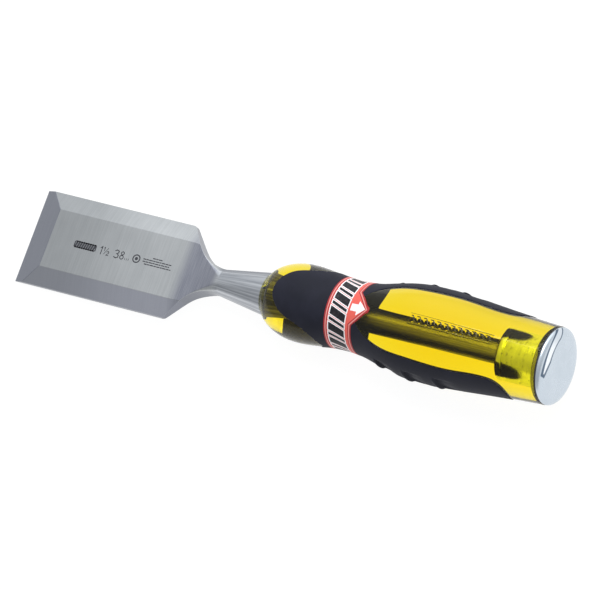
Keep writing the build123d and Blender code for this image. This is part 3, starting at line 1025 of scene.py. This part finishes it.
def make_label():
    """The printed band round the waist and its pointed tab, as one film with rounded edges."""
    columns = 26
    across = np.linspace(-1, 1, columns + 1)
    rest = np.linspace(LABEL_HALF_ANGLE, 360 - LABEL_HALF_ANGLE, 102)[1:-1]
    angles = np.concatenate([across * LABEL_HALF_ANGLE, rest])
    count = len(angles)
    on_tab = np.abs(angles) < LABEL_HALF_ANGLE - 0.5
    stations = [
        LABEL_X, LABEL_X + 0.03, LABEL_X + LABEL_EDGE, *np.linspace(143, 153.4, 12),
        LABEL_END_X - LABEL_EDGE, LABEL_END_X - 0.03, LABEL_END_X,
    ]
    rows = []
    for x in stations:
        front, rear = x - LABEL_X, LABEL_END_X - x
        rows.append(on_handle(x, angles, film_height(np.where(on_tab, front, min(front, rear)))))
    for x in (LABEL_END_X, LABEL_X):
        rows.append(on_handle(x, angles, -LABEL_DEPTH))
    verts = list(np.concatenate(rows))
    last = len(stations) - 1
    faces = []
    for i in range(len(rows)):
        low, high = i * count, (i + 1) % len(rows) * count
        for j in range(count):
            k = (j + 1) % count
            if i != last or j >= columns:
                faces.append((low + j, high + j, high + k, low + k))

    # the tab: rows of points between its two slanting sides, with a rounded tip
    straight = 1 - LABEL_TIP_SHARE
    shares = np.concatenate([np.linspace(0, straight, 9)[1:], np.linspace(straight, 0.996, 8)[1:]])
    tab_rows = [(last * count, (last + 1) * count)]
    for s in shares:
        x = LABEL_END_X + s * (LABEL_TIP_X - LABEL_END_X)
        width = 1 - s
        if s >= straight:
            width = LABEL_TIP_SHARE * sqrt(max(1 - ((s - straight) / LABEL_TIP_SHARE) ** 2, 0))
        spread = LABEL_HALF_ANGLE * width
        gap = np.radians(spread) * handle_r(x) * (1 - np.abs(across))
        row = len(verts)
        verts += list(on_handle(x, across * spread, film_height(gap)))
        verts += list(on_handle(x, across * spread, -LABEL_DEPTH))
        tab_rows.append((row, row + columns + 1))
    for (a_top, a_low), (b_top, b_low) in zip(tab_rows, tab_rows[1:]):
        for j in range(columns):
            faces.append((a_top + j, b_top + j, b_top + j + 1, a_top + j + 1))
            faces.append((b_low + j, a_low + j, a_low + j + 1, b_low + j + 1))
        faces.append((a_top, a_low, b_low, b_top))
        faces.append((b_top + columns, b_low + columns, a_low + columns, a_top + columns))
    top, low = tab_rows[-1]
    for j in range(columns):
        faces.append((top + j, low + j, low + j + 1, top + j + 1))
    return verts, faces


# ---- assembly

def make_sleeve():
    """The steel sleeve on the tang, with a shallow groove near its front."""
    floor_r = SLEEVE_R - GROOVE_DEPTH
    profile = rounded([
        (SLEEVE_X, TANG_R - LAP, 0), (SLEEVE_X, SLEEVE_R, 0.7),
        (GROOVE_X, SLEEVE_R, 0.15), (GROOVE_X + 0.15, floor_r, 0.1),
        (GROOVE_X + 0.65, floor_r, 0.1), (GROOVE_X + 0.8, SLEEVE_R, 0.15),
        (SPIGOT_X, SLEEVE_R, 0), (SPIGOT_X, TANG_R - LAP, 0),
    ])
    return lathe(profile, np.arange(0, 360, 3.0), closed=True)


def make_washer():
    profile = rounded([
        (BODY_END_X - LAP, SPIGOT_R - LAP, 0), (BODY_END_X - LAP, WASHER_R, 0.15),
        (CAP_X, WASHER_R, 0.15), (CAP_X, SPIGOT_R - LAP, 0),
    ])
    return lathe(profile, np.arange(0, 360, 3.0), closed=True)


def make_cap():
    """The strike cap: a spigot, a short rim, a quarter-ellipse crown and a flat face."""
    crown_x = LENGTH - CROWN_DROP
    crown = [
        (crown_x + CROWN_DROP * cos(t), CAP_FACE_R + (CAP_R - CAP_FACE_R) * sin(t))
        for t in np.radians(np.linspace(90, 0, 28))
    ]
    profile = rounded([
        (SPIGOT_X - CAP_LAP, 0.01, 0), (SPIGOT_X - CAP_LAP, SPIGOT_R, 0.2),
        (CAP_X - CAP_LAP, SPIGOT_R, 0), (CAP_X - CAP_LAP, CAP_R, 0.1), (crown_x, CAP_R, 0),
    ]) + crown[1:] + [(LENGTH, CAP_FACE_R - 0.3), (LENGTH, 0.01)]
    angles = np.arange(0, 360, 2.0)
    verts, faces = lathe(profile, angles)
    count, last = len(angles), (len(profile) - 1) * len(angles)
    faces.append(tuple(range(count)))
    faces.append(tuple(last + k for k in reversed(range(count))))
    return verts, faces


def build_chisel():
    verts, faces, normals = make_forging()
    make_piece("blade_and_tang_forging", verts, faces, blade_finish(), "blade_steel",
               ["blade_and_tang"], normals=normals)
    make_piece("blade_etched_marks", *blade_marks(), etch_finish(), "blade_steel", sharp=30)
    make_piece("clear_handle_body", *make_body(), amber_finish(), "clear_amber_plastic",
               ["handle_body"], sharp=40)
    make_piece("rubber_overmould", *make_grip(), rubber_finish(), "grip_rubber",
               ["soft_grip"], sharp=55)
    make_piece("wrap_label", *make_label(), label_finish(), "label_film",
               ["label_band"], sharp=50)
    make_piece("tang_sleeve_turned", *make_sleeve(), sleeve_finish(), "sleeve_steel",
               ["tang_sleeve"], sharp=40)
    make_piece("cap_washer_ring", *make_washer(), washer_finish(), "washer_plastic",
               ["cap_washer"], sharp=40)
    make_piece("strike_cap_chromed", *make_cap(), cap_finish(), "cap_chrome",
               ["strike_cap"], sharp=40)


build_chisel()


# ---- floor, light and camera

def make_floor():
    """A pale floor under the tool, which lies on its cutting edge and its rear bulb."""
    size, glow_centre = 3.0, (0.12, 0.0, 0.0)
    mesh = bpy.data.meshes.new("studio_floor")
    corners = [(-size, -size), (size, -size), (size, size), (-size, size)]
    verts = [(x, y, -REST_SLOPE * x - FLOOR_GAP * MM) for x, y in corners]
    mesh.from_pydata(verts, [], [(0, 1, 2, 3)])
    floor = bpy.data.objects.new("studio_floor", mesh)
    bpy.context.scene.collection.objects.link(floor)
    paper = bpy.data.materials.new("pale_floor")
    paper.use_nodes = True
    shader = paper.node_tree.nodes["Principled BSDF"]
    shader.inputs["Base Color"].default_value = (0.12, 0.12, 0.12, 1.0)
    shader.inputs["Roughness"].default_value = 0.9
    shader.inputs["Specular IOR Level"].default_value = 0.1
    shader.inputs["Emission Color"].default_value = (1.0, 1.0, 1.0, 1.0)
    tree = paper.node_tree
    place = tree.nodes.new("ShaderNodeNewGeometry").outputs["Position"]
    reach = tree.nodes.new("ShaderNodeVectorMath")
    reach.operation = "DISTANCE"
    reach.inputs[1].default_value = glow_centre
    tree.links.new(place, reach.inputs[0])
    glow = Socket(tree, reach.outputs["Value"]).step(0.25, 0.9, 0.93, 0.6)
    tree.links.new(glow.socket, shader.inputs["Emission Strength"])
    mesh.materials.append(paper)


def make_light(name, place, aim, size, power):
    data = bpy.data.lights.new(name, "AREA")
    data.shape = "RECTANGLE"
    data.size, data.size_y = size
    data.energy = power
    light = bpy.data.objects.new(name, data)
    light.location = place
    light.rotation_euler = (Vector(aim) - Vector(place)).to_track_quat("-Z", "Y").to_euler()
    bpy.context.scene.collection.objects.link(light)


def make_world():
    """Soft light that is bright overhead and on the +Y side, and dim in front of the cutting edge."""
    world = bpy.data.worlds.new("soft_studio")
    bpy.context.scene.world = world
    world.use_nodes = True
    tree = world.node_tree
    place = tree.nodes.new("ShaderNodeTexCoord").outputs["Generated"]
    dot = tree.nodes.new("ShaderNodeVectorMath")
    dot.operation = "DOT_PRODUCT"
    dot.inputs[1].default_value = (0.1, 0.75, 0.6)
    tree.links.new(place, dot.inputs[0])
    toward = Socket(tree, dot.outputs["Value"])
    glow = toward.step(-0.1, 0.5, 0.58, 0.84) + toward.step(0.6, 0.88, 0.0, 0.8)
    tree.links.new(glow.socket, tree.nodes["Background"].inputs["Strength"])
    tree.nodes["Background"].inputs["Color"].default_value = (0.96, 0.98, 1.0, 1.0)


def make_camera():
    """A long lens at the photo's angle, aimed so that the tool sits in the frame as it does there."""
    azimuth, elevation, roll = radians(-21.54), radians(58.53), radians(-51.11)
    distance, lens_mm = 2.41533, 388.54
    shift_right, shift_up = 0.005992, 0.000746
    back = Vector((cos(elevation) * cos(azimuth), cos(elevation) * sin(azimuth), sin(elevation)))
    level = Vector((0, 0, 1)).cross(back).normalized()
    rise_axis = back.cross(level)
    right = cos(roll) * level + sin(roll) * rise_axis
    up = cos(roll) * rise_axis - sin(roll) * level
    aim = Vector((0.114, 0, AXIS_Z * MM)) + right * shift_right + up * shift_up
    data = bpy.data.cameras.new("photo_camera")
    data.lens, data.sensor_width = lens_mm, 36.0
    data.clip_end = 50.0
    camera = bpy.data.objects.new("photo_camera", data)
    turn = Matrix((right, up, back)).transposed().to_4x4()
    camera.matrix_world = Matrix.Translation(aim + back * distance) @ turn
    bpy.context.scene.collection.objects.link(camera)
    bpy.context.scene.camera = camera


make_floor()
make_world()
make_light("key_softbox", (0.3, 0.5, 0.9), (0.12, 0, 0), (0.9, 0.6), 5.0)
make_camera()
bpy.context.scene.view_settings.view_transform = "Standard"
